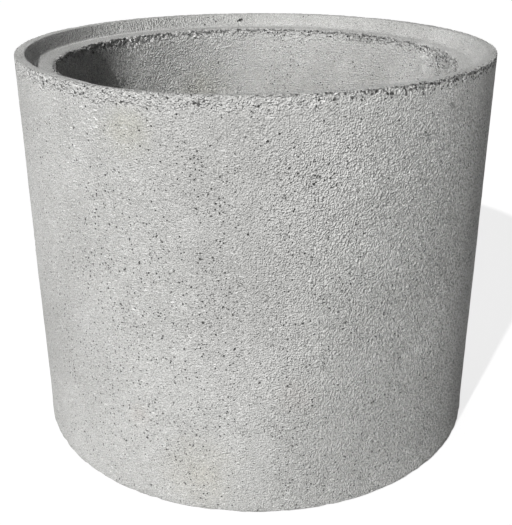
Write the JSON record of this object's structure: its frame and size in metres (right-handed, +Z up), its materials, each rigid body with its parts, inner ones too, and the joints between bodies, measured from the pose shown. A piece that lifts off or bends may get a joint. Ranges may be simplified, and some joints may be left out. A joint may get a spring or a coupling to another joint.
{
  "type": "concrete culvert ring",
  "caption": "Cast concrete ring for culverts, wells and shafts, standing on end, with a rebated upper end that seats the next ring or a cover.",
  "frame": {"origin": "middle of the foot, on the floor that the ring stands on", "axes": "+Z up along the ring's own axis, towards its rebated end; X and Y are any two level directions, because the ring is round"},
  "size_m": [1.1998, 1.2, 1],
  "materials": {
    "concrete": "bare cast concrete, matt and sandy, with small air holes and crumbled corners"
  },
  "bodies": {
    "root": {"culvert_ring": "concrete"}
  },
  "joints": []
}
